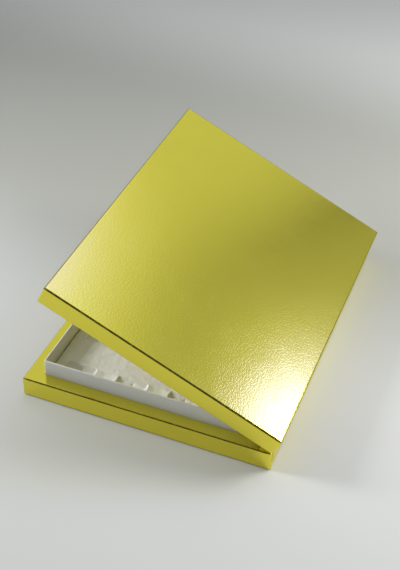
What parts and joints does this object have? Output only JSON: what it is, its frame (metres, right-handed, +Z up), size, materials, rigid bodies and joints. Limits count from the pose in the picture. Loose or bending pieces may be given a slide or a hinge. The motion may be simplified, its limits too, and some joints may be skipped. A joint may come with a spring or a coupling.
{
  "type": "chocolate box",
  "caption": "Flat rigid chocolate box in embossed gold foil paper, with a hinged lid, a ledge, a white inner tray and a moulded pocket insert.",
  "frame": {"origin": "centre of the base underside, on the table", "axes": "+X towards the hinge side, +Y from the front short side to the rear, +Z up"},
  "size_m": [0.1856, 0.248, 0.1012],
  "materials": {
    "greyboard": "matte solid board",
    "corner_tape": "matte paper tape",
    "gold_foil": "embossed metallised foil paper",
    "underside_paper": "matte paper",
    "white_board": "satin coated board",
    "white_moulding": "glossy thin moulded sheet",
    "lining_paper": "smooth gold paper"
  },
  "bodies": {
    "base": {"base_bottom_board": "greyboard", "base_front_board": "greyboard", "base_rear_board": "greyboard", "base_left_board": "greyboard", "base_hinge_board": "greyboard", "shoulder_board": "greyboard", "base_corner_stays": "corner_tape", "base_wrap": "gold_foil", "underside_sheet": "underside_paper", "inner_tray": "white_board", "pocket_insert": "white_moulding", "hinge_strip_base": "gold_foil"},
    "lid": {"lid_top_board": "greyboard", "lid_front_board": "greyboard", "lid_rear_board": "greyboard", "lid_left_board": "greyboard", "lid_hinge_board": "greyboard", "lid_corner_stays": "corner_tape", "lid_wrap": "gold_foil", "lid_lining": "lining_paper", "hinge_strip_lid": "gold_foil"}
  },
  "joints": [
    {"name": "lid_hinge", "type": "hinge", "parent": "base", "child": "lid", "pos_m": [0.0903, 0, 0.01515], "axis": [0, 1, 0], "range_deg": [-24, 152]}
  ]
}
